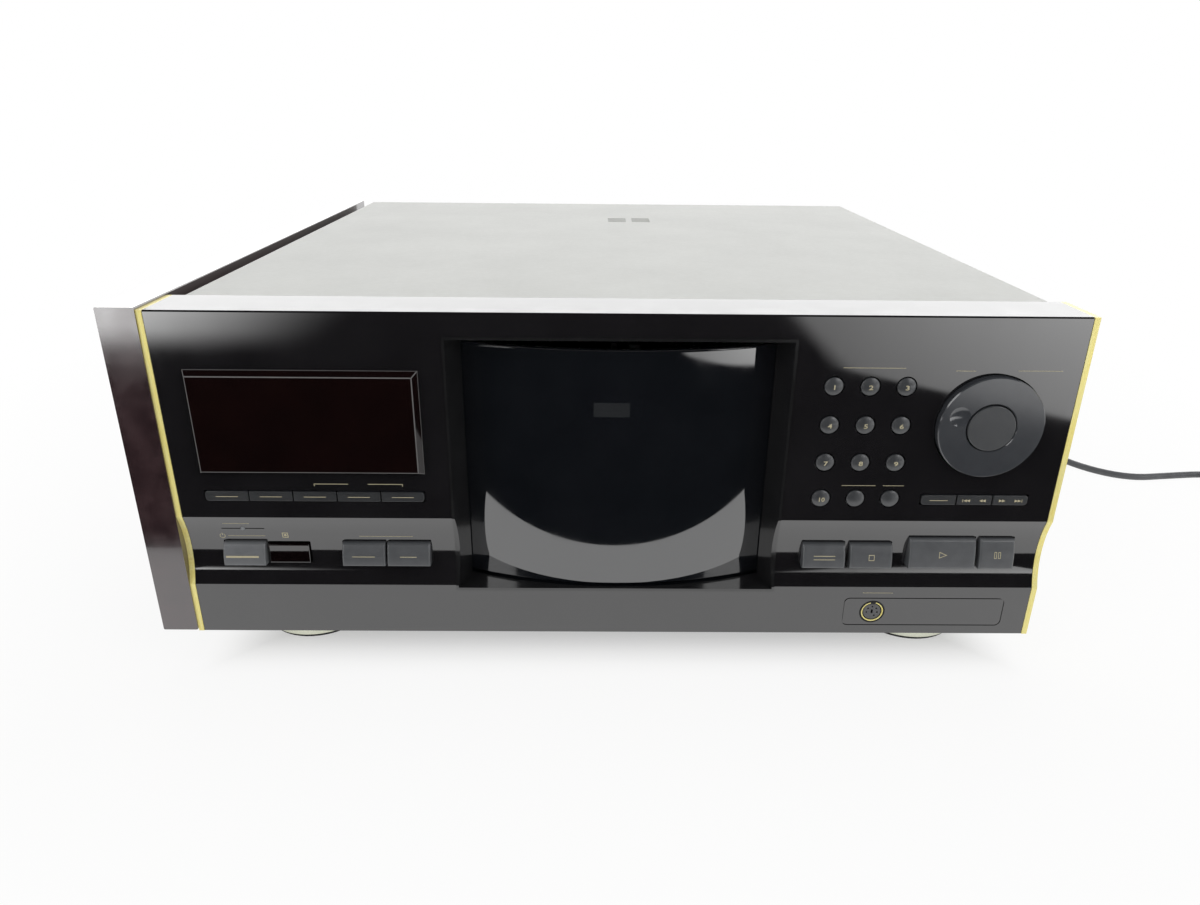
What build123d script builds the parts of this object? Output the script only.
from build123d import *
import os
from math import asin, cos, degrees, hypot, pi, radians, sin, sqrt, tan

os.makedirs("parts", exist_ok=True)

# A disc changer in a full-width cabinet: glossy front with a curved door in its middle, a sheet
# steel cover, one wooden cheek on the left, and a round disc rack that turns behind the door.
# Millimetres. X runs to the right, Y to the back, Z up. The origin is on the table, under the
# middle of the box round the cabinet, the cheek included and the mains lead left out.
# Heights below are measured from the front panel's lower edge, which stands foot_height above
# the table. Places along the front are measured from the panel's nearer end, as from_end.

# Cabinet
panel_width = 420.0
panel_height = 164.0
foot_height = 20.0
rear_room = 15.0
return_depth = 30.3
cover_side_gap = 6.7
sheet = 1.0
floor_sheet = 1.2
cover_lift = 1.5
cover_bend = 2.2
vent_places = ((5.6, 101.2), (23.5, 100.6))
vent_width = 13.5
vent_slot = 2.2
vent_pitch = 4.4
vent_slots = 5
flange_height = 15.0
tray_rim = 3.0
ring_seat_depth = 8.0
ring_seat_width = 14.0
ring_seat_angles = (40.0, 65.0)
side_screw_inset = 40.0
rear_screw_from_end = 60.0
low_screw_rise = 8.0
cheek_thickness = 17.2
cheek_top_rise = 1.3
cheek_bottom_rise = 0.9
cheek_proud = 1.0
cheek_edge = 0.8
socket_proud = 7.0

# Front panel
panel_wall = 3.0
return_wall = 2.5
panel_edge = 0.7
trim_thickness = 2.6
trim_proud = 0.3
cove_depth = 3.6
cove_low = 27.0
cove_high = 63.9
boss_radius = 2.5
boss_root = 1.8
boss_from_top = 21.0
boss_low = 34.0
boss_outer_from_end = 12.0
boss_inner_from_end = 122.0
left_board_from_end = 66.5
left_board_width = 115.0
right_board_from_end = 67.0
right_board_width = 116.0
key_board_low = 30.0
key_board_top_gap = 18.0
board_depth = 13.0
board_thickness = 1.6
groove_width = 0.5
groove_depth = 0.5
cut_margin = 1.0

# Door opening and its frame
frame_from_end = 131.2
frame_low = 24.4
frame_top_gap = 10.8
frame_rim = 1.4
frame_proud = 0.5
frame_lean = 6.1
frame_back_depth = 16.0
frame_tail = 4.0

# Curved door, a piece of a cylinder about the rack's axis
door_side_room = 10.3
door_set_back = 2.0
door_thickness = 3.0
door_top_gap = 5.0
door_overlap = 3.2
door_edge = 1.2
door_ring_step = 1.6
door_ring_wall = 2.4
door_ring_low = 6.0
door_ring_half_angle = 75.0
door_gap = 0.6
door_foot = 4.0

# Windows and lamp
window_width = 104.6
window_from_end = 67.5
window_top_gap = 26.6
window_key_gap = 9.1
window_proud = 4.0
window_inset = 2.1
window_flange = 2.0
window_flange_thickness = 1.2
display_inset = 4.0
sensor_width = 20.4
sensor_height = 11.2
sensor_from_end = 50.4
key_row_z = 43.6
sensor_set_back = 1.6
lamp_radius = 1.1
lamp_round = 0.6
lamp_from_end = 29.5
lamp_z = 56.8
lamp_slot_length = 20.6

# Keys. Each cap sits in its hole with a running gap, held by a flange behind the panel.
key_gap = 0.3
key_corner = 0.8
key_flange = 1.0
key_flange_lip = 1.2
round_key_radius = 4.2
round_key_hole = 4.8
round_key_proud = 1.5
round_key_edge = 0.2
round_stem_end = 7.6
round_key_from_end = 113.4
round_key_z = 131.6
round_key_pitch_x = 16.45
round_key_pitch_z = 18.6
round_stem_radius = 2.4
thin_key_height = 5.0
thin_key_proud = 0.7
thin_key_edge = 0.4
thin_stem_end = 7.6
thin_key_z = 75.4
slot_corner = 0.5
thin_left_from_end = 15.5
thin_pitch_left = 20.7
thin_right_from_end = 65.8
thin_pitch_right = 17.1
deep_key_height = 11.2
power_from_end = 29.2
power_width = 20.4
loader_from_end = 98.0
loader_width = 21.0
loader_gap = 0.8
open_from_end = 118.8
small_main_width = 20.9
small_main_gap = 2.2
main_key_height = 11.8
play_from_end = 66.8
play_width = 32.6
pause_width = 17.2
play_gap = 1.8
play_height = 15.0
main_row_low = 38.4
low_key_proud = 1.6
main_key_proud = 2.1
key_top_set_back = 1.4
deep_stem_end = 9.0
key_travel = 0.8
main_travel = 1.2
switch_side = 6.0
stem_width = 4.0

# Jog dial and the button in its middle
dial_from_end = 40.1
dial_z = 113.0
dial_radius = 24.3
dial_hole = 24.9
dial_proud = 3.5
dial_thickness = 3.2
dial_edge = 0.5
encoder_height = 5.0
dial_bore = 11.4
dial_sleeve_radius = 14.0
dial_sleeve_end = 11.0
encoder_radius = 18.0
bearing_gap = 0.1
dimple_radius = 4.7
dimple_depth = 1.1
dimple_distance = 16.3
dimple_angle = 160.0
enter_radius = 10.9
enter_proud = 3.9
enter_cap_depth = 2.0
enter_end = 9.0
enter_stem_radius = 8.0
enter_travel = 1.0

# Keyboard socket on the lower right
socket_from_end = 80.6
socket_z = 12.7
socket_radius = 6.3
socket_bore = 4.9
socket_length = 12.0
socket_set_back = 0.2
socket_ring = 0.5
socket_hole_depth = 6.0
pin_circle = 2.7
pin_radius = 0.45
pin_count = 6
pin_arc = 300.0
slot_pin_width = 1.0
slot_pin_height = 2.2
plate_from_end = 55.0
plate_width = 80.8
plate_height = 16.1
plate_corner = 3.0

# Feet
foot_from_end = 45.0
foot_front = 50.2
foot_from_back = 56.0
foot_radius = 28.0
pad_radius = 26.5
pad_height = 2.5
foot_edge = 1.5
foot_recess_radius = 9.0
foot_recess_depth = 12.0

# Disc rack, a turning ring with upright slots, and the gear that drives it
slot_count = 100
slot_width = 2.0
rack_door_gap = 3.0
rack_inner = 72.0
rack_base_low = 18.0
rack_base = 3.0
comb_outer_depth = 24.0
comb_outer_height = 20.0
comb_outer_parts = 25
comb_inner_depth = 12.0
comb_inner_height = 60.0
comb_inner_parts = 10
comb_floor = 2.0
comb_inner_wall = 1.5
hub_gap = 0.3
gear_module = 2.0
tooth_band = 14.0
pinion_teeth = 12
gear_height = 6.5
tooth_addendum = 1.2
tooth_dedendum = 2.2
tooth_half_share = 0.62
gear_rim = 8.0
gear_gap = 0.4
motor_radius = 16.0
motor_height = 9.0
shaft_radius = 1.5
drive_angle = 135.0

# Disc drive, upright in the middle of the rack
hub_wall = 7.0
hub_shoulder = 6.0
drive_base = 3.0
disc_centre_z = 83.0
disc_half = 0.6
drive_plate_x = 9.0
drive_plate_thickness = 2.0
drive_plate_width = 76.0
drive_plate_top = 130.0
spindle_radius = 14.0
spindle_thickness = 3.5
spindle_hub_radius = 7.3
spindle_hub_proud = 2.2
spindle_shaft_radius = 1.5
spindle_motor_radius = 13.0
spindle_motor_length = 11.0
rail_radius = 1.5
rail_spacing = 24.0
rail_low = 11.0
rail_top = 67.0
rail_clip = 3.0
rail_clip_width = 5.0
pickup_height = 15.0
pickup_high = 63.5
pickup_width = 33.0
pickup_thickness = 6.0
pickup_gap = 1.1
lens_proud = 0.8
lens_radius = 3.4
arm_length = 50.0
arm_width = 8.0
arm_thickness = 2.6
arm_x = -4.0
arm_side_gap = 0.4
arm_pivot_y = 34.0
arm_pivot_z = 13.0
arm_pin_radius = 2.0
arm_post_thickness = 3.0
arm_post_width = 10.0

# Circuit boards and sockets at the back
main_board_inset = 14.0
main_board_from_end = 30.0
main_board_low = 40.0
main_board_high = 130.0
chips = ((20.0, 105.0, 18.0), (52.0, 105.0, 18.0), (36.0, 70.0, 24.0))
chip_thickness = 2.5
board_leg_inset = 10.0
board_leg_width = 8.0
power_board_z = 10.0
power_board_from_end = 45.0
power_board_from_back = 51.0
power_board_width = 58.0
power_board_length = 60.0
power_post_radius = 2.5
power_post_inset = 4.0
transformer_width = 40.0
transformer_length = 36.0
transformer_height = 34.0
transformer_shift = 4.0
capacitor_radius = 5.0
capacitor_height = 20.0
capacitor_places = ((-20.0, 16.0), (22.0, -24.0))
phono_radius = 4.2
phono_bore = 1.7
phono_pitch = 16.0
phono_columns = 5
phono_row_count = 3
phono_from_end = 90.0
phono_z = 100.0
phono_block = 12.0
rear_vent_from_end = 110.0
rear_vent_z = 100.0
rear_vent_length = 34.0
rear_vent_width = 3.0
rear_vent_pitch = 7.0
rear_vent_count = 12

# Screws
screw_radius = 1.5
screw_head_radius = 3.6
screw_head = 1.8
screw_length = 6.0
screw_fit = 0.1
cheek_screw_front = 100.0
cheek_screw_from_back = 71.0
cheek_screw_z = 90.0
spare_hole_drop = 10.0
cheek_screw_radius = 2.0
cheek_screw_grip = 12.0
spacer_radius = 6.0
nut_radius = 4.0

# Mains lead
cord_diameter = 5.0
cord_x = 150.0
cord_z = 26.0
relief_length = 26.0
relief_root = 5.6
relief_tip = 3.3
relief_flange_radius = 7.5
relief_flange = 2.0
coil_turns_in = 3
coil_outer_radius = 38.5
coil_pitch = 5.5
coil_layer_rise = 5.5
coil_end_run = 18.0
plug_length = 44.0
plug_width = 22.0
plug_neck = 22.0
plug_neck_width = 11.0
plug_neck_thickness = 9.0
plug_neck_wall = 1.2
plug_corner = 4.0
plug_edge = 1.5
blade_length = 17.5
blade_width = 6.3
blade_thickness = 1.5
blade_spacing = 12.7

# Places that follow from the sizes above, along the front from the panel's middle
panel_bottom = 0.0
panel_top = panel_bottom + panel_height
panel_half = panel_width / 2
body_half = panel_half - trim_thickness
cover_half = panel_half - cover_side_gap
cover_inner = cover_half - sheet
door_radius = cover_inner - door_side_room
rack_axis_depth = door_radius + door_set_back
cabinet_depth = rack_axis_depth + door_radius + rear_room
mid_x = cheek_thickness / 2
total_depth = window_proud + cabinet_depth + socket_proud
face_y = window_proud - total_depth / 2
axis_y = face_y + rack_axis_depth
floor_top = panel_bottom + floor_sheet
cove_mid = (cove_low + cove_high) / 2
coved_back = panel_wall + cove_depth
low_screw_z = floor_top + low_screw_rise
side_screw_front = return_depth + side_screw_inset
side_screw_back = cabinet_depth - side_screw_inset
rear_screw_x = panel_half - rear_screw_from_end
cheek_screw_back = cabinet_depth - cheek_screw_from_back
foot_x = panel_half - foot_from_end
foot_back = cabinet_depth - foot_from_back

frame_width = panel_width - 2 * frame_from_end
frame_back_width = frame_width - 2 * frame_lean
frame_high = panel_top - frame_top_gap
frame_inner_low = frame_low + frame_rim
frame_inner_high = frame_high - frame_rim
door_low = frame_inner_low + door_gap
door_high = frame_inner_high - door_top_gap
door_half_angle = degrees(asin((frame_back_width / 2 + door_overlap) / door_radius))
door_ring_outer = door_radius - door_ring_step
door_ring_inner = door_ring_outer - door_ring_wall

window_x = window_from_end - panel_half
window_low = thin_key_z + thin_key_height / 2 + window_key_gap
window_height = panel_top - window_top_gap - window_low
window_z = window_low + window_height / 2
sensor_x = sensor_from_end - panel_half
lamp_x = lamp_from_end - panel_half
power_x = power_from_end - panel_half
loader_x = loader_from_end - panel_half
thin_row_left = thin_left_from_end - panel_half
thin_row_right = panel_half - thin_right_from_end
round_key_x = panel_half - round_key_from_end
open_x = panel_half - open_from_end
play_x = panel_half - play_from_end
dial_x = panel_half - dial_from_end
socket_x = panel_half - socket_from_end
plate_x = panel_half - plate_from_end
left_board_x = left_board_from_end - panel_half
right_board_x = panel_half - right_board_from_end
key_board_height = panel_height - key_board_low - key_board_top_gap
key_board_z = key_board_low + key_board_height / 2

rack_outer = door_radius - door_thickness - rack_door_gap
rack_teeth = int((rack_outer - tooth_band) * 2 / gear_module + 0.5)
rack_pitch_radius = gear_module * rack_teeth / 2
pinion_pitch_radius = gear_module * pinion_teeth / 2
gear_centres = rack_pitch_radius + pinion_pitch_radius
pinion_x = gear_centres * cos(radians(drive_angle))
pinion_y = gear_centres * sin(radians(drive_angle))
gear_low = rack_base_low - gear_height

main_board_width = 2 * (panel_half - main_board_from_end)
power_board_x = panel_half - power_board_from_end
power_board_y = cabinet_depth - power_board_from_back
phono_x = phono_from_end - panel_half
rear_vent_x = panel_half - rear_vent_from_end


def front(depth=0.0):
    """Plane of the front: X to the right of the middle, Y up from the panel's lower edge."""
    return Plane(origin=(mid_x, face_y + depth, foot_height), x_dir=(1, 0, 0), z_dir=(0, -1, 0))


def side(x):
    """Upright plane seen from the right: X back from the front, Y up from the panel's edge."""
    return Plane(origin=(mid_x + x, face_y, foot_height), x_dir=(0, 1, 0), z_dir=(1, 0, 0))


def level(z):
    """Flat plane at a height: X from the middle, Y back from the front."""
    return Plane(origin=(mid_x, face_y, foot_height + z), x_dir=(1, 0, 0), z_dir=(0, 0, 1))


def rack_level(z):
    """Flat plane at a height, centred on the rack's axis."""
    return Plane(origin=(mid_x, axis_y, foot_height + z), x_dir=(1, 0, 0), z_dir=(0, 0, 1))


def on_rack(x, y, z):
    """Flat plane at a place measured from the rack's axis."""
    return Plane(origin=(mid_x + x, axis_y + y, foot_height + z))


def coved_face(depth, low, high):
    """Line of the front from low to high, with its shallow cove, set back by depth."""
    Line((depth, low), (depth, cove_low))
    ThreePointArc((depth, cove_low), (depth + cove_depth, cove_mid), (depth, cove_high))
    Line((depth, cove_high), (depth, high))


def cove_at(z):
    """Depth of the cove below the front's face at a height."""
    half = (cove_high - cove_low) / 2
    radius = (half * half + cove_depth * cove_depth) / (2 * cove_depth)
    rise = z - cove_mid
    if abs(rise) >= half:
        return 0.0
    return cove_depth - radius + sqrt(radius * radius - rise * rise)


# Places of the keys: name, middle x, middle z and sizes
thin_keys = []
for row_left, pitch, count in ((thin_row_left, thin_pitch_left, 5), (thin_row_right, thin_pitch_right, 3)):
    for index in range(count):
        thin_keys.append((f"thin_key_{len(thin_keys) + 1}", row_left + pitch * (index + 0.5), pitch))

round_keys = []
for row in range(4):
    for column in range(3):
        number = row * 3 + column + 1
        name = f"number_key_{number}" if number < 11 else f"round_key_{number}"
        place = (round_key_x + column * round_key_pitch_x, round_key_z - row * round_key_pitch_z)
        round_keys.append((name, place))

loader_step = (loader_width + loader_gap) / 2
low_row_z = main_row_low + main_key_height / 2
tall_row_z = main_row_low + play_height / 2
stop_x = open_x + small_main_width + small_main_gap
pause_x = play_x + play_width + play_gap
deep_keys = [
    ("power_key", power_x, key_row_z, power_width, deep_key_height, low_key_proud),
    ("loader_access_key", loader_x - loader_step, key_row_z, loader_width, deep_key_height, low_key_proud),
    ("loader_play_key", loader_x + loader_step, key_row_z, loader_width, deep_key_height, low_key_proud),
]
for name, left in (("open_close_key", open_x), ("stop_key", stop_x)):
    middle = left + small_main_width / 2
    deep_keys.append((name, middle, low_row_z, small_main_width, main_key_height, main_key_proud))
for name, left, width in (("play_key", play_x, play_width), ("pause_key", pause_x, pause_width)):
    deep_keys.append((name, left + width / 2, tall_row_z, width, play_height, main_key_proud))

# Front panel: a moulding with a cove across it, returned along its four edges
boss_places = [(sign * (panel_half - from_end), z) for sign in (-1, 1)
               for from_end in (boss_outer_from_end, boss_inner_from_end)
               for z in (boss_low, panel_top - boss_from_top)]
with BuildPart() as front_panel:
    with BuildSketch(side(-body_half)):
        with BuildLine():
            coved_face(0, panel_bottom, panel_top - panel_edge)
            Line((0, panel_top - panel_edge), (panel_edge, panel_top))
            Polyline((panel_edge, panel_top), (return_depth, panel_top), (return_depth, panel_bottom),
                     (0, panel_bottom))
        make_face()
    extrude(amount=2 * body_half)
    with BuildSketch(side(-body_half + return_wall)):
        with BuildLine():
            coved_face(panel_wall, panel_bottom + return_wall, panel_top - return_wall)
            Polyline((panel_wall, panel_top - return_wall), (return_depth, panel_top - return_wall),
                     (return_depth, panel_bottom + return_wall), (panel_wall, panel_bottom + return_wall))
        make_face()
    extrude(amount=2 * (body_half - return_wall), mode=Mode.SUBTRACT)
    for x, z in boss_places:
        with BuildSketch(front(board_depth)):
            with Locations((x, z)):
                Circle(boss_radius)
        extrude(amount=board_depth - cove_at(z) - boss_root)
    with BuildSketch(front(-cut_margin)):
        with Locations((0, (frame_low + frame_high) / 2)):
            Rectangle(frame_width, frame_high - frame_low)
        with Locations((window_x, window_z)):
            Rectangle(window_width + key_gap, window_height + key_gap)
        with Locations((thin_row_left + 2.5 * thin_pitch_left, thin_key_z)):
            RectangleRounded(5 * thin_pitch_left + key_gap, thin_key_height + 2 * key_gap, slot_corner)
        with Locations((thin_row_right + 1.5 * thin_pitch_right, thin_key_z)):
            RectangleRounded(3 * thin_pitch_right + key_gap, thin_key_height + 2 * key_gap, slot_corner)
        for name, place in round_keys:
            with Locations(place):
                Circle(round_key_hole)
        for name, x, z, width, height, proud in deep_keys:
            with Locations((x, z + key_gap)):
                RectangleRounded(width + 2 * key_gap, height + 4 * key_gap, key_corner)
        with Locations((sensor_x, key_row_z)):
            RectangleRounded(sensor_width + key_gap, sensor_height + key_gap, key_corner)
        with Locations((dial_x, dial_z)):
            Circle(dial_hole)
        with Locations((socket_x, socket_z)):
            Circle(socket_radius + bearing_gap)
        with Locations((lamp_x, lamp_z)):
            Circle(lamp_radius + bearing_gap)
    extrude(amount=-(cut_margin + coved_back), mode=Mode.SUBTRACT)
    with BuildSketch(front(-cut_margin)):
        with Locations((plate_x, socket_z)):
            RectangleRounded(plate_width, plate_height, plate_corner)
            RectangleRounded(plate_width - 2 * groove_width, plate_height - 2 * groove_width,
                             plate_corner - groove_width, mode=Mode.SUBTRACT)
    extrude(amount=-(cut_margin + groove_depth), mode=Mode.SUBTRACT)
    with BuildSketch(front(-cut_margin)):
        with Locations((lamp_x, lamp_z)):
            Rectangle(lamp_slot_length, groove_width)
    extrude(amount=-(cut_margin + cove_at(lamp_z) + groove_depth), mode=Mode.SUBTRACT)
front_panel.part.label = "front_panel"
export_step(front_panel.part, "parts/front_panel.step")

# Gilt strips that close the panel's two ends and follow its outline
with BuildPart() as edge_trims:
    for x in (-panel_half, body_half):
        with BuildSketch(side(x)):
            with BuildLine():
                coved_face(-trim_proud, panel_bottom, panel_top)
                Polyline((-trim_proud, panel_top), (return_depth, panel_top), (return_depth, panel_bottom),
                         (-trim_proud, panel_bottom))
            make_face()
        extrude(amount=trim_thickness)
edge_trims.part.label = "edge_trims"
export_step(edge_trims.part, "parts/edge_trims.step")

# Frame round the door: its front follows the cove, its sides lean in, its back follows the door
frame_front_width = frame_width - 2 * frame_rim
with BuildPart() as door_frame:
    with BuildSketch(side(-frame_width / 2)):
        with BuildLine():
            coved_face(-frame_proud, frame_low, frame_high)
            Polyline((-frame_proud, frame_high), (frame_back_depth + frame_tail, frame_high),
                     (frame_back_depth + frame_tail, frame_low), (-frame_proud, frame_low))
        make_face()
    extrude(amount=frame_width)
    with BuildSketch(level(frame_inner_low)):
        with BuildLine():
            slope = (frame_front_width - frame_back_width) / 2 / frame_back_depth
            reach = frame_back_depth + frame_tail + cut_margin
            wide = frame_front_width / 2 + slope * cut_margin
            narrow = frame_front_width / 2 - slope * reach
            Polyline((-wide, -cut_margin), (wide, -cut_margin), (narrow, reach), (-narrow, reach),
                     (-wide, -cut_margin))
        make_face()
    extrude(amount=frame_inner_high - frame_inner_low, mode=Mode.SUBTRACT)
    with BuildSketch(rack_level(frame_low - cut_margin)):
        Circle(door_radius + door_gap)
    extrude(amount=frame_high - frame_low + 2 * cut_margin, mode=Mode.SUBTRACT)
door_frame.part.label = "door_frame"
export_step(door_frame.part, "parts/door_frame.step")

# Curved door on the ring that carries it round the rack
door_span = 2 * door_half_angle
with BuildPart() as door:
    with BuildSketch(rack_level(door_low)):
        with BuildLine():
            start = -90 - door_half_angle
            outer = CenterArc((0, 0), door_radius, start, door_span)
            inner = CenterArc((0, 0), door_radius - door_thickness, start, door_span)
            Line(outer @ 0, inner @ 0)
            Line(outer @ 1, inner @ 1)
        make_face()
    extrude(amount=door_high - door_low)
    arcs = door.edges().filter_by(GeomType.CIRCLE)
    fillet(arcs.group_by(lambda edge: edge.radius)[-1], door_edge)
    with BuildSketch(rack_level(door_ring_low)):
        with BuildLine():
            start = -90 - door_ring_half_angle
            outer = CenterArc((0, 0), door_ring_outer, start, 2 * door_ring_half_angle)
            inner = CenterArc((0, 0), door_ring_inner, start, 2 * door_ring_half_angle)
            Line(outer @ 0, inner @ 0)
            Line(outer @ 1, inner @ 1)
        make_face()
    extrude(amount=door_low - door_ring_low - door_foot)
    with BuildSketch(rack_level(door_low - door_foot)):
        with BuildLine():
            start = -90 - door_half_angle
            outer = CenterArc((0, 0), door_ring_outer, start, door_span)
            inner = CenterArc((0, 0), door_radius - door_thickness, start, door_span)
            Line(outer @ 0, inner @ 0)
            Line(outer @ 1, inner @ 1)
        make_face()
    extrude(amount=2 * door_foot)
door.part.label = "door"
export_step(door.part, "parts/door.step")

# Display window: a smoked block that stands out of the panel, with a lip behind it
with BuildPart() as display_window:
    with BuildSketch(front()):
        with Locations((window_x, window_z)):
            Rectangle(window_width, window_height)
    extrude(amount=window_proud, taper=degrees(asin(window_inset / hypot(window_inset, window_proud))))
    with BuildSketch(front()):
        with Locations((window_x, window_z)):
            Rectangle(window_width, window_height)
    extrude(amount=-panel_wall)
    with BuildSketch(front(panel_wall)):
        with Locations((window_x, window_z)):
            Rectangle(window_width + 2 * window_flange, window_height + 2 * window_flange)
    extrude(amount=-window_flange_thickness)
display_window.part.label = "display_window"
export_step(display_window.part, "parts/display_window.step")

# Receiver window beside the power key
with BuildPart() as sensor_window:
    with BuildSketch(front(sensor_set_back)):
        with Locations((sensor_x, key_row_z)):
            RectangleRounded(sensor_width, sensor_height, key_corner)
    extrude(amount=-(board_depth - sensor_set_back))
sensor_window.part.label = "sensor_window"
export_step(sensor_window.part, "parts/sensor_window.step")

# Standby lamp, a small rod from the board to the slot
with BuildPart() as standby_lamp:
    with BuildSketch(front(board_depth)):
        with Locations((lamp_x, lamp_z)):
            Circle(lamp_radius)
    extrude(amount=board_depth - cove_at(lamp_z) + groove_depth)
    fillet(standby_lamp.faces().sort_by(Axis.Y)[0].edges(), lamp_round)
standby_lamp.part.label = "standby_lamp"
export_step(standby_lamp.part, "parts/standby_lamp.step")

# Round domed keys
for name, (x, z) in round_keys:
    with BuildPart() as round_key:
        with BuildSketch(level(z).shift_origin(level(z).from_local_coords((x, 0, 0)))):
            with BuildLine():
                flange_front = panel_wall + key_gap
                flange_back = flange_front + key_flange
                flange_radius = round_key_hole + key_flange_lip
                TangentArc((0, -round_key_proud), (round_key_radius, -round_key_edge), tangent=(1, 0))
                Polyline((round_key_radius, -round_key_edge), (round_key_radius, flange_front),
                         (flange_radius, flange_front), (flange_radius, flange_back),
                         (round_stem_radius, flange_back), (round_stem_radius, round_stem_end),
                         (0, round_stem_end), (0, -round_key_proud))
            make_face()
        revolve(axis=Axis(level(z).from_local_coords((x, 0, 0)), (0, 1, 0)))
    round_key.part.label = name
    export_step(round_key.part, f"parts/{name}.step")

# Thin keys in two rows, side by side in their slots
for name, x, pitch in thin_keys:
    with BuildPart() as thin_key:
        with BuildSketch(front(panel_wall + key_gap)):
            with Locations((x, thin_key_z)):
                Rectangle(pitch - key_gap, thin_key_height)
        extrude(amount=panel_wall + key_gap + thin_key_proud)
        fillet(thin_key.faces().sort_by(Axis.Y)[0].edges(), thin_key_edge)
        with BuildSketch(front(panel_wall + key_gap)):
            with Locations((x, thin_key_z)):
                Rectangle(pitch - key_gap, thin_key_height + 2 * key_flange_lip)
        extrude(amount=-key_flange)
        with BuildSketch(front(panel_wall + key_gap + key_flange)):
            with Locations((x, thin_key_z)):
                Rectangle(stem_width, stem_width)
        extrude(amount=-(thin_stem_end - panel_wall - key_gap - key_flange))
    thin_key.part.label = name
    export_step(thin_key.part, f"parts/{name}.step")

# Deep keys in the cove: faces that swell outwards towards their lower edge
for name, x, z, width, height, proud in deep_keys:
    with BuildPart() as deep_key:
        low = z - height / 2
        high = z + height / 2
        back = coved_back + key_gap
        with BuildSketch(side(x - width / 2)):
            with BuildLine():
                Line((back, low), (-proud, low))
                TangentArc((-proud, low), (key_top_set_back, high), tangent=(0, 1))
                Polyline((key_top_set_back, high), (back, high), (back, low))
            make_face()
        extrude(amount=width)
        with BuildSketch(front(back)):
            with Locations((x, z)):
                Rectangle(width, height + 2 * key_flange_lip + 2 * key_gap)
        extrude(amount=-key_flange)
        with BuildSketch(front(back + key_flange)):
            with Locations((x, z)):
                Rectangle(stem_width, stem_width)
        extrude(amount=-(deep_stem_end - back - key_flange))
    deep_key.part.label = name
    export_step(deep_key.part, f"parts/{name}.step")

# Jog dial: a ring with a finger dimple, turning on a sleeve inside the encoder
with BuildPart() as jog_dial:
    with BuildSketch(front(-dial_proud)):
        with Locations((dial_x, dial_z)):
            Circle(dial_radius)
            Circle(dial_bore, mode=Mode.SUBTRACT)
    extrude(amount=-(dial_proud + dial_thickness))
    chamfer(jog_dial.faces().sort_by(Axis.Y)[0].edges(), dial_edge)
    with BuildSketch(front(dial_thickness)):
        with Locations((dial_x, dial_z)):
            Circle(dial_sleeve_radius)
            Circle(dial_bore, mode=Mode.SUBTRACT)
    extrude(amount=-(dial_sleeve_end - dial_thickness))
    ball = (dimple_radius ** 2 + dimple_depth ** 2) / (2 * dimple_depth)
    dimple_x = dial_x + dimple_distance * cos(radians(dimple_angle))
    dimple_z = dial_z + dimple_distance * sin(radians(dimple_angle))
    with Locations(level(dimple_z).from_local_coords((dimple_x, dimple_depth - dial_proud - ball, 0))):
        Sphere(ball, mode=Mode.SUBTRACT)
jog_dial.part.label = "jog_dial"
export_step(jog_dial.part, "parts/jog_dial.step")

# Enter button in the middle of the dial
with BuildPart() as enter_button:
    with BuildSketch(front(-enter_proud)):
        with Locations((dial_x, dial_z)):
            Circle(enter_radius)
    extrude(amount=-(enter_proud + enter_cap_depth))
    fillet(enter_button.faces().sort_by(Axis.Y)[0].edges(), dial_edge)
    with BuildSketch(front(enter_cap_depth)):
        with Locations((dial_x, dial_z)):
            Circle(enter_stem_radius)
    extrude(amount=-(enter_end - enter_cap_depth))
enter_button.part.label = "enter_button"
export_step(enter_button.part, "parts/enter_button.step")

# Keyboard socket, a round shell with an insert
with BuildPart() as keyboard_socket:
    with BuildSketch(front(socket_set_back)):
        with Locations((socket_x, socket_z)):
            Circle(socket_radius)
    extrude(amount=-socket_length)
    with BuildSketch(front(socket_set_back)):
        with Locations((socket_x, socket_z)):
            Circle(socket_bore)
            Circle(socket_bore - socket_ring, mode=Mode.SUBTRACT)
    extrude(amount=-socket_hole_depth, mode=Mode.SUBTRACT)
    with BuildSketch(front(socket_set_back)):
        with Locations((socket_x, socket_z)):
            with PolarLocations(pin_circle, pin_count, start_angle=90 - pin_arc / 2, angular_range=pin_arc):
                Circle(pin_radius)
            Rectangle(slot_pin_width, slot_pin_height)
    extrude(amount=-socket_hole_depth, mode=Mode.SUBTRACT)
keyboard_socket.part.label = "keyboard_socket"
export_step(keyboard_socket.part, "parts/keyboard_socket.step")

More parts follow.
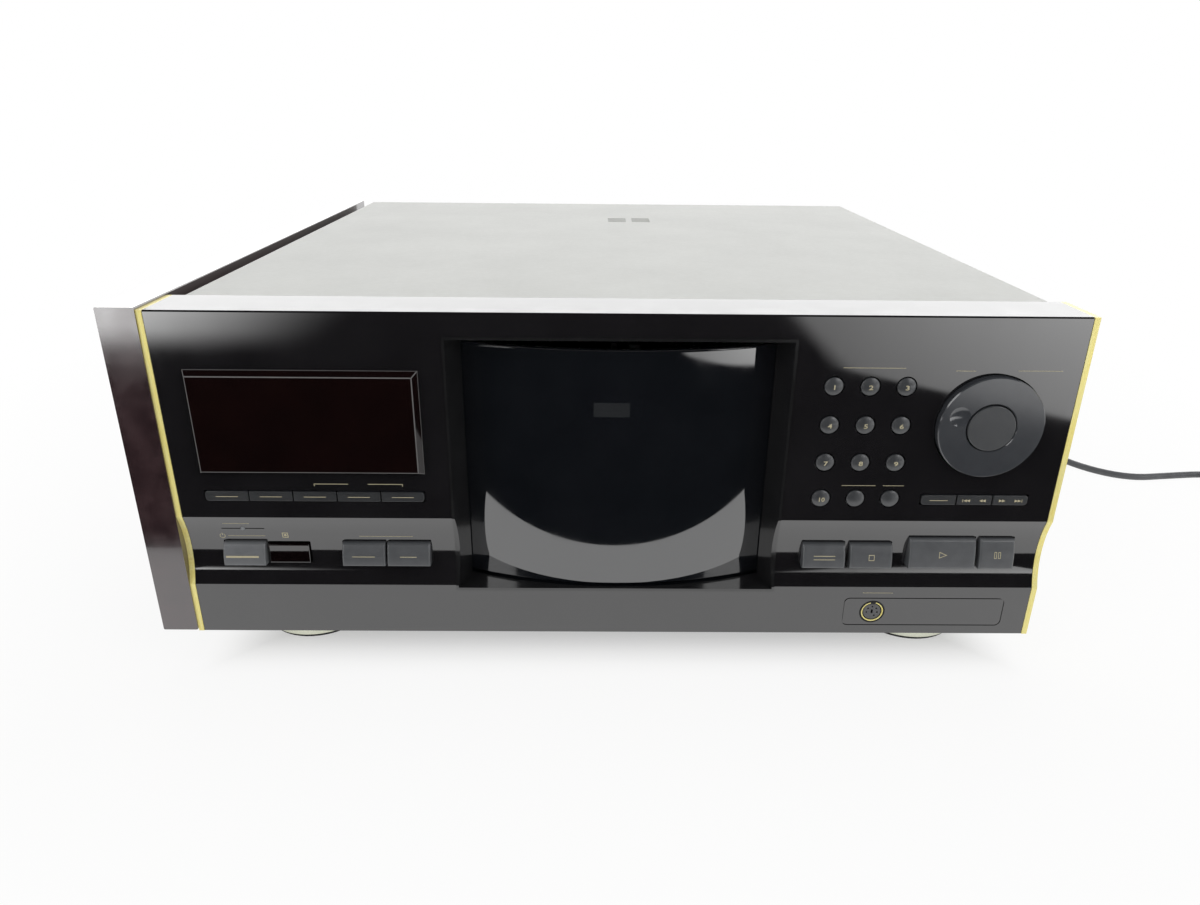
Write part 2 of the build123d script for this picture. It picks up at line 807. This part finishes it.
# Key boards behind the panel, with a switch for each key, the dial's encoder and the display
with BuildPart() as front_board:
    with BuildSketch(front(board_depth)):
        with Locations((left_board_x, key_board_z)):
            Rectangle(left_board_width, key_board_height)
        with Locations((right_board_x, key_board_z)):
            Rectangle(right_board_width, key_board_height)
    extrude(amount=-board_thickness)
    with BuildSketch(front(board_depth)):
        for name, place in round_keys:
            with Locations(place):
                Rectangle(switch_side, switch_side)
        for name, x, pitch in thin_keys:
            with Locations((x, thin_key_z)):
                Rectangle(switch_side, switch_side)
    extrude(amount=board_depth - round_stem_end - key_travel - key_gap)
    with BuildSketch(front(board_depth)):
        for name, x, z, width, height, proud in deep_keys:
            with Locations((x, z)):
                Rectangle(switch_side, switch_side)
    extrude(amount=board_depth - deep_stem_end - main_travel - key_gap)
    with BuildSketch(front(board_depth)):
        with Locations((dial_x, dial_z)):
            Circle(encoder_radius)
            Circle(dial_sleeve_radius + bearing_gap, mode=Mode.SUBTRACT)
    extrude(amount=encoder_height)
    with BuildSketch(front(board_depth)):
        with Locations((dial_x, dial_z)):
            Rectangle(switch_side, switch_side)
    extrude(amount=board_depth - enter_end - enter_travel - key_gap)
    with BuildSketch(front(board_depth)):
        with Locations((window_x, window_z)):
            Rectangle(window_width - 2 * display_inset, window_height - 2 * display_inset)
    extrude(amount=board_depth - panel_wall - window_flange_thickness - key_gap)
front_board.part.label = "front_board"
export_step(front_board.part, "parts/front_board.step")

# Chassis: a shallow steel tray with low walls and seats for the door's ring
with BuildPart() as bottom_chassis:
    tray_length = cabinet_depth - sheet - return_depth
    tray_mid = return_depth + tray_length / 2
    with BuildSketch(level(panel_bottom)):
        with Locations((0, tray_mid)):
            Rectangle(2 * cover_inner, tray_length)
    extrude(amount=floor_sheet)
    with BuildSketch(level(floor_top)):
        with Locations((0, tray_mid)):
            Rectangle(2 * cover_inner, tray_length)
            Rectangle(2 * (cover_inner - sheet), tray_length - 2 * sheet, mode=Mode.SUBTRACT)
    extrude(amount=tray_rim)
    with BuildSketch(level(floor_top)):
        with Locations((-cover_inner + sheet / 2, tray_mid), (cover_inner - sheet / 2, tray_mid)):
            Rectangle(sheet, tray_length)
        with Locations((0, cabinet_depth - sheet * 1.5)):
            Rectangle(2 * cover_inner, sheet)
    extrude(amount=flange_height)
    with BuildSketch(rack_level(floor_top)):
        for angle in ring_seat_angles:
            with PolarLocations((door_ring_inner + door_ring_outer) / 2, 2, start_angle=-90 - angle,
                                angular_range=2 * angle, endpoint=True):
                Rectangle(ring_seat_depth, ring_seat_width)
    extrude(amount=door_ring_low - key_gap - floor_top)
    with BuildSketch(side(-cover_inner - cut_margin)):
        with Locations((side_screw_front, low_screw_z), (side_screw_back, low_screw_z)):
            Circle(screw_radius + screw_fit)
    extrude(amount=2 * (cover_inner + cut_margin), mode=Mode.SUBTRACT)
    with BuildSketch(front(cabinet_depth - 2 * sheet - cut_margin)):
        with Locations((-rear_screw_x, low_screw_z), (0, low_screw_z), (rear_screw_x, low_screw_z)):
            Circle(screw_radius + screw_fit)
    extrude(amount=-(2 * sheet + cut_margin), mode=Mode.SUBTRACT)
bottom_chassis.part.label = "bottom_chassis"
export_step(bottom_chassis.part, "parts/bottom_chassis.step")

# Rear panel with its sockets' holes, cord hole and ventilation slots
phono_rows = [phono_z - row * phono_pitch for row in range(phono_row_count)]
phono_mid = phono_x + phono_pitch * (phono_columns - 1) / 2
with BuildPart() as rear_panel:
    with BuildSketch(front(cabinet_depth)):
        with Locations((0, (panel_bottom + panel_top - sheet) / 2)):
            Rectangle(2 * cover_inner, panel_height - sheet)
        for z in phono_rows:
            with Locations((phono_mid, z)):
                with GridLocations(phono_pitch, 1, phono_columns, 1):
                    Circle(phono_radius + key_gap, mode=Mode.SUBTRACT)
        with Locations((cord_x, cord_z)):
            Circle(relief_root + bearing_gap, mode=Mode.SUBTRACT)
        with Locations((rear_vent_x, rear_vent_z)):
            with GridLocations(rear_vent_pitch, 1, rear_vent_count, 1):
                SlotOverall(rear_vent_length, rear_vent_width, rotation=90, mode=Mode.SUBTRACT)
        with Locations((-rear_screw_x, low_screw_z), (0, low_screw_z), (rear_screw_x, low_screw_z)):
            Circle(screw_radius + screw_fit, mode=Mode.SUBTRACT)
    extrude(amount=sheet)
rear_panel.part.label = "rear_panel"
export_step(rear_panel.part, "parts/rear_panel.step")

# Cover: one folded sheet, top and two sides, with two slotted vents near its back
with BuildPart() as top_cover:
    cover_low = panel_bottom + cover_lift
    with BuildSketch(front(return_depth)):
        with BuildLine():
            bend_x = cover_half - cover_bend
            bend_z = panel_top - cover_bend
            RadiusArc((-cover_half, bend_z), (-bend_x, panel_top), cover_bend)
            Line((-bend_x, panel_top), (bend_x, panel_top))
            RadiusArc((bend_x, panel_top), (cover_half, bend_z), cover_bend)
            Polyline((cover_half, bend_z), (cover_half, cover_low), (-cover_half, cover_low),
                     (-cover_half, bend_z))
        make_face()
        with Locations((0, (cover_low + panel_top - sheet) / 2)):
            Rectangle(2 * cover_inner, panel_top - sheet - cover_low, mode=Mode.SUBTRACT)
    extrude(amount=-(cabinet_depth - return_depth))
    with BuildSketch(level(panel_top + cut_margin)):
        for x, from_back in vent_places:
            with Locations((x, cabinet_depth - from_back)):
                with GridLocations(1, vent_pitch, 1, vent_slots):
                    Rectangle(vent_width, vent_slot)
    extrude(amount=-(sheet + 2 * cut_margin), mode=Mode.SUBTRACT)
    with BuildSketch(side(-cover_half - cut_margin)):
        with Locations((side_screw_front, low_screw_z), (side_screw_back, low_screw_z)):
            Circle(screw_radius + screw_fit)
    extrude(amount=2 * (cover_half + cut_margin), mode=Mode.SUBTRACT)
    for x, z in ((-cover_half, cheek_screw_z), (cover_inner, cheek_screw_z - spare_hole_drop)):
        with BuildSketch(side(x - cut_margin)):
            with Locations((cheek_screw_front, z), (cheek_screw_back, z)):
                Circle(cheek_screw_radius + screw_fit)
        extrude(amount=sheet + 2 * cut_margin, mode=Mode.SUBTRACT)
top_cover.part.label = "top_cover"
export_step(top_cover.part, "parts/top_cover.step")

# Screws of the cover and of the rear panel, and the cheek's screws with their spacers and nuts
side_screw_places = [(side_sign, depth) for side_sign in (-1, 1)
                     for depth in (side_screw_front, side_screw_back)]
with BuildPart() as case_screws:
    for side_sign, depth in side_screw_places:
        seat = side(side_sign * cover_half)
        with BuildSketch(seat):
            with Locations((depth, low_screw_z)):
                Circle(screw_head_radius)
        extrude(amount=side_sign * screw_head)
        with BuildSketch(seat):
            with Locations((depth, low_screw_z)):
                Circle(screw_radius)
        extrude(amount=-side_sign * screw_length)
    for x in (-rear_screw_x, 0, rear_screw_x):
        with BuildSketch(front(cabinet_depth)):
            with Locations((x, low_screw_z)):
                Circle(screw_head_radius)
        extrude(amount=-screw_head)
        with BuildSketch(front(cabinet_depth)):
            with Locations((x, low_screw_z)):
                Circle(screw_radius)
        extrude(amount=screw_length)
    for depth in (cheek_screw_front, cheek_screw_back):
        with BuildSketch(side(-cover_half)):
            with Locations((depth, cheek_screw_z)):
                Circle(spacer_radius)
        extrude(amount=-cover_side_gap)
        with BuildSketch(side(-panel_half)):
            with Locations((depth, cheek_screw_z)):
                Circle(cheek_screw_radius)
        extrude(amount=-cheek_screw_grip)
        with BuildSketch(side(-cover_half)):
            with Locations((depth, cheek_screw_z)):
                Circle(cheek_screw_radius)
        extrude(amount=sheet)
        with BuildSketch(side(-cover_inner)):
            with Locations((depth, cheek_screw_z)):
                Circle(nut_radius)
        extrude(amount=screw_head)
case_screws.part.label = "case_screws"
export_step(case_screws.part, "parts/case_screws.step")

# Wooden cheek on the left, held off the cover by its screws' spacers
with BuildPart() as wood_cheek:
    with BuildSketch(side(-panel_half - cheek_thickness)):
        with Locations(((cabinet_depth - cheek_proud) / 2,
                        (panel_bottom + cheek_bottom_rise + panel_top + cheek_top_rise) / 2)):
            Rectangle(cabinet_depth + cheek_proud, panel_height + cheek_top_rise - cheek_bottom_rise)
    extrude(amount=cheek_thickness)
    fillet(wood_cheek.edges().filter_by(Axis.Y), cheek_edge)
    with BuildSketch(side(-panel_half)):
        with Locations((cheek_screw_front, cheek_screw_z), (cheek_screw_back, cheek_screw_z)):
            Circle(cheek_screw_radius)
    extrude(amount=-cheek_screw_grip, mode=Mode.SUBTRACT)
wood_cheek.part.label = "wood_cheek"
export_step(wood_cheek.part, "parts/wood_cheek.step")

# Feet with a recess from below, and the pads that they stand on
foot_places = [(sign * foot_x, depth) for depth in (foot_front, foot_back) for sign in (-1, 1)]
with BuildPart() as feet:
    with BuildSketch(level(pad_height - foot_height)):
        for place in foot_places:
            with Locations(place):
                Circle(foot_radius)
    extrude(amount=foot_height - pad_height)
    chamfer(feet.faces().group_by(Axis.Z)[0].edges(), foot_edge)
    with BuildSketch(level(pad_height - foot_height)):
        for place in foot_places:
            with Locations(place):
                Circle(foot_recess_radius)
    extrude(amount=foot_recess_depth, mode=Mode.SUBTRACT)
feet.part.label = "feet"
export_step(feet.part, "parts/feet.step")

with BuildPart() as foot_pads:
    with BuildSketch(level(-foot_height)):
        for place in foot_places:
            with Locations(place):
                Circle(pad_radius)
                Circle(foot_recess_radius, mode=Mode.SUBTRACT)
    extrude(amount=pad_height)
foot_pads.part.label = "foot_pads"
export_step(foot_pads.part, "parts/foot_pads.step")


def gear_outline(teeth, start):
    """Closed outline of a spur gear with straight-sided teeth, the first one centred on start."""
    pitch_radius = gear_module * teeth / 2
    half = gear_module * tooth_half_share / pitch_radius
    slope = tan(radians(20))
    tip_radius = pitch_radius + tooth_addendum
    root_radius = pitch_radius - tooth_dedendum
    tip = half - tooth_addendum * slope / tip_radius
    root = half + tooth_dedendum * slope / root_radius
    points = []
    for index in range(teeth):
        middle = start + 2 * pi * index / teeth
        corners = ((root_radius, -root), (tip_radius, -tip), (tip_radius, tip), (root_radius, root))
        for radius, angle in corners:
            points.append((radius * cos(middle + angle), radius * sin(middle + angle)))
    points.append(points[0])
    return points


# Disc rack: a flat ring with a gear moulded below it
with BuildPart() as disc_rack:
    with BuildSketch(rack_level(rack_base_low)):
        Circle(rack_outer)
        Circle(rack_inner, mode=Mode.SUBTRACT)
    extrude(amount=rack_base)
    with BuildSketch(rack_level(gear_low)):
        with BuildLine():
            Polyline(*gear_outline(rack_teeth, radians(drive_angle)))
        make_face()
        Circle(rack_pitch_radius - gear_rim, mode=Mode.SUBTRACT)
    extrude(amount=gear_height)
disc_rack.part.label = "disc_rack"
export_step(disc_rack.part, "parts/disc_rack.step")

# Combs of upright slots on the ring, in segments that meet in the middle of a slot
comb_low = rack_base_low + rack_base
comb_inner_outer = rack_inner + comb_inner_depth
with BuildPart() as rack_combs:
    for outer, deep, height, segments, wall in (
        (rack_outer, comb_outer_depth, comb_outer_height, comb_outer_parts, -cut_margin),
        (comb_inner_outer, comb_inner_depth, comb_inner_height, comb_inner_parts, comb_inner_wall),
    ):
        with BuildSketch(rack_level(comb_low)):
            Circle(outer)
            Circle(outer - deep, mode=Mode.SUBTRACT)
            with PolarLocations(outer - deep / 2, segments):
                Rectangle(deep + 2 * cut_margin, slot_width, mode=Mode.SUBTRACT)
        extrude(amount=comb_floor)
        with BuildSketch(rack_level(comb_low + comb_floor)):
            Circle(outer)
            Circle(outer - deep, mode=Mode.SUBTRACT)
            with PolarLocations(outer - deep / 2 + wall + cut_margin, slot_count):
                Rectangle(deep + 2 * cut_margin, slot_width, mode=Mode.SUBTRACT)
            with PolarLocations(outer - deep / 2, segments):
                Rectangle(deep + 2 * cut_margin, slot_width, mode=Mode.SUBTRACT)
        extrude(amount=height - comb_floor)
rack_combs.part.label = "rack_combs"
export_step(rack_combs.part, "parts/rack_combs.step")

# Pinion on the motor's shaft. A gap of the pinion faces a tooth of the rack.
pinion_start = radians(drive_angle + 180) + pi / pinion_teeth
with BuildPart() as drive_pinion:
    with BuildSketch(on_rack(pinion_x, pinion_y, gear_low + gear_gap)):
        with BuildLine():
            Polyline(*gear_outline(pinion_teeth, pinion_start))
        make_face()
        Circle(shaft_radius + bearing_gap, mode=Mode.SUBTRACT)
    extrude(amount=gear_height - 2 * gear_gap)
drive_pinion.part.label = "drive_pinion"
export_step(drive_pinion.part, "parts/drive_pinion.step")

with BuildPart() as drive_motor:
    with BuildSketch(on_rack(pinion_x, pinion_y, floor_top)):
        Circle(motor_radius)
    extrude(amount=motor_height)
    with BuildSketch(on_rack(pinion_x, pinion_y, floor_top + motor_height)):
        Circle(shaft_radius)
    extrude(amount=gear_low + gear_height - 2 * gear_gap - floor_top - motor_height)
drive_motor.part.label = "drive_motor"
export_step(drive_motor.part, "parts/drive_motor.step")

# Drive frame: the ring that the rack turns on, a base and an upright plate with two rails
drive_side = Plane(origin=(mid_x, axis_y, foot_height), x_dir=(0, 1, 0), z_dir=(1, 0, 0))
hub_outer = rack_inner - hub_gap
rail_x = drive_plate_x - pickup_gap - pickup_thickness / 2
with BuildPart() as drive_frame:
    with BuildSketch(rack_level(floor_top)):
        Circle(hub_outer + hub_shoulder)
    extrude(amount=drive_base)
    with BuildSketch(rack_level(floor_top)):
        Circle(hub_outer + hub_shoulder)
        Circle(hub_outer - hub_wall, mode=Mode.SUBTRACT)
    extrude(amount=rack_base_low - key_gap - floor_top)
    with BuildSketch(rack_level(floor_top)):
        Circle(hub_outer)
        Circle(hub_outer - hub_wall, mode=Mode.SUBTRACT)
    extrude(amount=rack_base_low + rack_base - floor_top)
    with BuildSketch(rack_level(floor_top + drive_base)):
        with Locations((drive_plate_x + drive_plate_thickness / 2, 0)):
            Rectangle(drive_plate_thickness, drive_plate_width)
    extrude(amount=drive_plate_top - floor_top - drive_base)
    with BuildSketch(drive_side.offset(drive_plate_x)):
        with Locations((0, disc_centre_z)):
            Circle(spindle_motor_radius)
    extrude(amount=spindle_motor_length)
    with BuildSketch(drive_side.offset(drive_plate_x)):
        with Locations((0, disc_centre_z)):
            Circle(spindle_shaft_radius)
    extrude(amount=-(drive_plate_x - disc_half - key_gap))
    with BuildSketch(rack_level(rail_low)):
        with Locations((rail_x, -rail_spacing / 2), (rail_x, rail_spacing / 2)):
            Circle(rail_radius)
    extrude(amount=rail_top - rail_low)
    for z in (rail_low, rail_top - rail_clip):
        with BuildSketch(rack_level(z)):
            with Locations((rail_x + pickup_gap / 2, 0)):
                with GridLocations(1, rail_spacing, 1, 2):
                    Rectangle(pickup_thickness + pickup_gap, rail_clip_width)
        extrude(amount=rail_clip)
    with BuildSketch(rack_level(floor_top + drive_base)):
        with Locations((arm_x - arm_thickness / 2 - arm_side_gap - arm_post_thickness / 2, arm_pivot_y)):
            Rectangle(arm_post_thickness, arm_post_width)
    extrude(amount=arm_pivot_z + arm_post_width / 2 - floor_top - drive_base)
    with BuildSketch(drive_side.offset(arm_x - arm_thickness / 2 - arm_side_gap)):
        with Locations((arm_pivot_y, arm_pivot_z)):
            Circle(arm_pin_radius)
    extrude(amount=arm_thickness + 2 * arm_side_gap)
drive_frame.part.label = "drive_frame"
export_step(drive_frame.part, "parts/drive_frame.step")

# Turntable that holds the disc by its middle
with BuildPart() as turntable:
    with BuildSketch(drive_side.offset(disc_half)):
        with Locations((0, disc_centre_z)):
            Circle(spindle_radius)
    extrude(amount=spindle_thickness)
    with BuildSketch(drive_side.offset(disc_half)):
        with Locations((0, disc_centre_z)):
            Circle(spindle_hub_radius)
    extrude(amount=-spindle_hub_proud)
    with BuildSketch(drive_side.offset(disc_half)):
        with Locations((0, disc_centre_z)):
            Circle(spindle_shaft_radius + bearing_gap)
    extrude(amount=spindle_thickness, mode=Mode.SUBTRACT)
turntable.part.label = "turntable"
export_step(turntable.part, "parts/turntable.step")

# Pickup sled on the two rails
with BuildPart() as pickup:
    with BuildSketch(rack_level(pickup_high - pickup_height)):
        with Locations((rail_x, 0)):
            Rectangle(pickup_thickness, pickup_width)
        with Locations((rail_x, -rail_spacing / 2), (rail_x, rail_spacing / 2)):
            Circle(rail_radius + bearing_gap, mode=Mode.SUBTRACT)
    extrude(amount=pickup_height)
    with BuildSketch(drive_side.offset(rail_x - pickup_thickness / 2)):
        with Locations((0, pickup_high - pickup_height / 2)):
            Circle(lens_radius)
    extrude(amount=-lens_proud)
pickup.part.label = "pickup"
export_step(pickup.part, "parts/pickup.step")

# Loading arm that rolls a disc out of its slot into the drive
with BuildPart() as loading_arm:
    with BuildSketch(drive_side.offset(arm_x - arm_thickness / 2)):
        with Locations((arm_pivot_y - arm_length / 2, arm_pivot_z)):
            SlotCenterToCenter(arm_length, arm_width)
        with Locations((arm_pivot_y, arm_pivot_z)):
            Circle(arm_pin_radius + bearing_gap, mode=Mode.SUBTRACT)
    extrude(amount=arm_thickness)
loading_arm.part.label = "loading_arm"
export_step(loading_arm.part, "parts/loading_arm.step")

# Main board upright at the back, and the power board with its transformer in a rear corner
main_board_depth = cabinet_depth - sheet - main_board_inset
with BuildPart() as main_board:
    with BuildSketch(front(main_board_depth)):
        with Locations((0, (main_board_low + main_board_high) / 2)):
            Rectangle(main_board_width, main_board_high - main_board_low)
    extrude(amount=-board_thickness)
    with BuildSketch(front(main_board_depth + board_thickness)):
        for x, z, chip_side in chips:
            with Locations((x, z)):
                Rectangle(chip_side, chip_side)
    extrude(amount=-chip_thickness)
    with BuildSketch(level(floor_top)):
        with Locations((0, main_board_depth + board_thickness / 2)):
            with GridLocations(main_board_width / 2 - board_leg_inset, 1, 3, 1):
                Rectangle(board_leg_width, board_thickness)
    extrude(amount=main_board_low - floor_top)
main_board.part.label = "main_board"
export_step(main_board.part, "parts/main_board.step")

with BuildPart() as power_board:
    with BuildSketch(level(power_board_z)):
        with Locations((power_board_x, power_board_y)):
            Rectangle(power_board_width, power_board_length)
    extrude(amount=board_thickness)
    with BuildSketch(level(floor_top)):
        with Locations((power_board_x, power_board_y)):
            post_spacing_x = power_board_width - 2 * power_post_inset
            post_spacing_y = power_board_length - 2 * power_post_inset
            with GridLocations(post_spacing_x, post_spacing_y, 2, 2):
                Circle(power_post_radius)
    extrude(amount=power_board_z - floor_top)
    with BuildSketch(level(power_board_z + board_thickness)):
        with Locations((power_board_x + transformer_shift, power_board_y + transformer_shift)):
            Rectangle(transformer_width, transformer_length)
    extrude(amount=transformer_height)
    with BuildSketch(level(power_board_z + board_thickness)):
        for x, y in capacitor_places:
            with Locations((power_board_x + x, power_board_y + y)):
                Circle(capacitor_radius)
    extrude(amount=capacitor_height)
power_board.part.label = "power_board"
export_step(power_board.part, "parts/power_board.step")

# Phono sockets on the main board, through the rear panel
with BuildPart() as rear_sockets:
    socket_base_depth = main_board_depth + board_thickness
    for z in phono_rows:
        with BuildSketch(front(socket_base_depth)):
            with Locations((phono_mid, z)):
                Rectangle(phono_pitch * phono_columns, phono_block)
        extrude(amount=-(cabinet_depth - sheet - socket_base_depth))
        with BuildSketch(front(cabinet_depth - sheet)):
            with Locations((phono_mid, z)):
                with GridLocations(phono_pitch, 1, phono_columns, 1):
                    Circle(phono_radius)
        extrude(amount=-(sheet + socket_proud))
        with BuildSketch(front(cabinet_depth + socket_proud)):
            with Locations((phono_mid, z)):
                with GridLocations(phono_pitch, 1, phono_columns, 1):
                    Circle(phono_bore)
        extrude(amount=socket_proud + 1, mode=Mode.SUBTRACT)
rear_sockets.part.label = "rear_sockets"
export_step(rear_sockets.part, "parts/rear_sockets.step")

# Mains lead: the relief on the rear panel, the lead along the table, its coil and its plug
cord_radius = cord_diameter / 2
with BuildPart() as strain_relief:
    with BuildSketch(front(cabinet_depth - sheet)):
        with Locations((cord_x, cord_z)):
            Circle(relief_root)
    extrude(amount=-sheet)
    with BuildSketch(front(cabinet_depth)):
        with Locations((cord_x, cord_z)):
            Circle(relief_flange_radius)
    extrude(amount=-relief_flange)
    with BuildSketch(front(cabinet_depth + relief_flange)):
        with Locations((cord_x, cord_z)):
            Circle(relief_root)
    with BuildSketch(front(cabinet_depth + relief_length)):
        with Locations((cord_x, cord_z)):
            Circle(relief_tip)
    loft()
strain_relief.part.label = "strain_relief"
export_step(strain_relief.part, "parts/strain_relief.step")

# Route of the lead: places from the panel's middle and from the front, heights from the table
lead_start = (cord_x, cabinet_depth + relief_length, foot_height + cord_z)
lead_route = [
    lead_start,
    (150.0, 448.0, 46.0),
    (152.0, 471.0, 36.0),
    (158.0, 493.0, 17.0),
    (174.0, 514.0, 4.0),
    (205.0, 526.0, cord_radius),
    (246.0, 525.0, cord_radius),
    (284.0, 510.0, cord_radius),
    (312.0, 480.0, cord_radius),
    (329.0, 441.0, cord_radius),
    (340.0, 396.0, cord_radius),
    (347.0, 346.0, cord_radius),
    (357.0, 298.0, cord_radius),
    (374.0, 259.0, cord_radius),
    (402.0, 238.5, cord_radius),
    (437.0, 242.5, cord_radius),
    (466.0, 242.0, cord_radius),
    (490.0, 238.0, cord_radius),
]


def in_frame(point):
    """Place of a route's point in the part's frame."""
    return Vector(mid_x + point[0], face_y + point[1], point[2])


lead_points = [in_frame(point) for point in lead_route]
lead_runs = [b - a for a, b in zip(lead_points, lead_points[1:])]
lead_radii = []
for run, following in zip(lead_runs, lead_runs[1:]):
    half_turn = radians(run.get_angle(following)) / 2
    lead_radii.append(0.45 * min(run.length, following.length) / tan(half_turn))
print("lead radii", [round(radius, 1) for radius in lead_radii])
print("lead runs", [round(run.length, 1) for run in lead_runs])
print("lead turns", [round(a.get_angle(b), 1) for a, b in zip(lead_runs, lead_runs[1:])])

with BuildPart() as power_cord:
    with BuildLine() as lead_line:
        FilletPolyline(*lead_points, radius=lead_radii)
    with BuildSketch(Plane(origin=lead_points[0], z_dir=lead_runs[0])):
        Circle(cord_radius)
    sweep()
lead_length = lead_line.wire().length
print("lead length", round(lead_length, 1), "volume", round(power_cord.part.volume, 1),
      "section times length", round(pi * cord_radius ** 2 * lead_length, 1))
power_cord.part.label = "power_cord"
export_step(power_cord.part, "parts/power_cord.step")

# Coil: half turns that shrink to the middle, climb one layer and widen again, then a last quarter turn
coil_direction = lead_runs[-1].normalized()
coil_frame = Plane(origin=lead_points[-1], x_dir=(coil_direction.Y, -coil_direction.X, 0), z_dir=(0, 0, 1))
half_turns = 2 * coil_turns_in


def coil_places():
    """Ends of the half turns: distance along the coil's X axis and height above the first layer."""
    radii = [coil_outer_radius - (2 * index + 1) * coil_pitch / 4 for index in range(half_turns + 1)]
    radii = radii + radii[-2::-1]
    places = [(0.0, 0.0)]
    x = 0.0
    for index, radius in enumerate(radii):
        x += 2 * radius if index % 2 == 0 else -2 * radius
        places.append((x, 0.0 if index < half_turns else coil_layer_rise))
    return places


def half_turn_arcs(start, end, tangent):
    """Two quarter arcs from start to end, leaving along tangent and arriving against it."""
    middle = (start + end) * 0.5 + tangent * ((end - start).length / 2)
    first = TangentArc(start, middle, tangent=tangent)
    TangentArc(first @ 1, end, tangent=first % 1)


places = coil_places()
ends = [coil_frame.from_local_coords(Vector(x, 0, z)) for x, z in places]
forward = coil_direction
with BuildPart() as cord_coil:
    with BuildLine() as coil_line:
        Line(ends[0], ends[0] + forward * cord_diameter)
        shift = forward * cord_diameter
        for index in range(len(ends) - 2):
            heading = forward if index % 2 == 0 else forward * -1
            half_turn_arcs(ends[index] + shift, ends[index + 1] + shift, heading)
        last_start = ends[-2] + shift
        heading = (ends[-1] - ends[-2]).normalized()
        last_radius = (ends[-1] - ends[-2]).length / 2
        last_end = last_start + heading * last_radius + forward * last_radius
        TangentArc(last_start, last_end, tangent=forward)
        Line(last_end, last_end + heading * coil_end_run)
    with BuildSketch(Plane(origin=ends[0], z_dir=forward)):
        Circle(cord_radius)
    sweep()
coil_length = coil_line.wire().length
coil_samples = 1500
coil_points = [coil_line.wire() @ (index / coil_samples) for index in range(coil_samples + 1)]
near_steps = int(1.5 * pi * cord_diameter / (coil_length / coil_samples)) + 1
coil_gap = min(
    (coil_points[i] - coil_points[j]).length
    for i in range(0, coil_samples, 3) for j in range(i + near_steps, coil_samples, 2)
) - cord_diameter
print("coil length", round(coil_length, 1), "least gap", round(coil_gap, 2))
print("cord length", round(lead_length + coil_length, 1))
cord_coil.part.label = "cord_coil"
export_step(cord_coil.part, "parts/cord_coil.step")

# Plug with two flat blades, lying beside the coil on the end of the lead
plug_root = last_end + heading * coil_end_run
plug_thickness = cord_diameter + 2 * coil_layer_rise
plug_plane = Plane(origin=plug_root, x_dir=heading.cross(Vector(0, 0, 1)), z_dir=heading)
with BuildPart() as plug:
    with BuildSketch(plug_plane):
        Circle(cord_radius + plug_neck_wall)
    with BuildSketch(plug_plane.offset(plug_neck)):
        Rectangle(plug_neck_width, plug_neck_thickness)
    loft()
    with BuildSketch(plug_plane.offset(plug_neck)):
        RectangleRounded(plug_width, plug_thickness, plug_corner)
    extrude(amount=plug_length - plug_neck)
    fillet(plug.faces().sort_by(Axis(plug_root, heading))[-1].edges(), plug_edge)
    with BuildSketch(plug_plane.offset(plug_length)):
        with Locations((-blade_spacing / 2, 0), (blade_spacing / 2, 0)):
            Rectangle(blade_thickness, blade_width)
    extrude(amount=blade_length)
plug.part.label = "plug"
export_step(plug.part, "parts/plug.step")
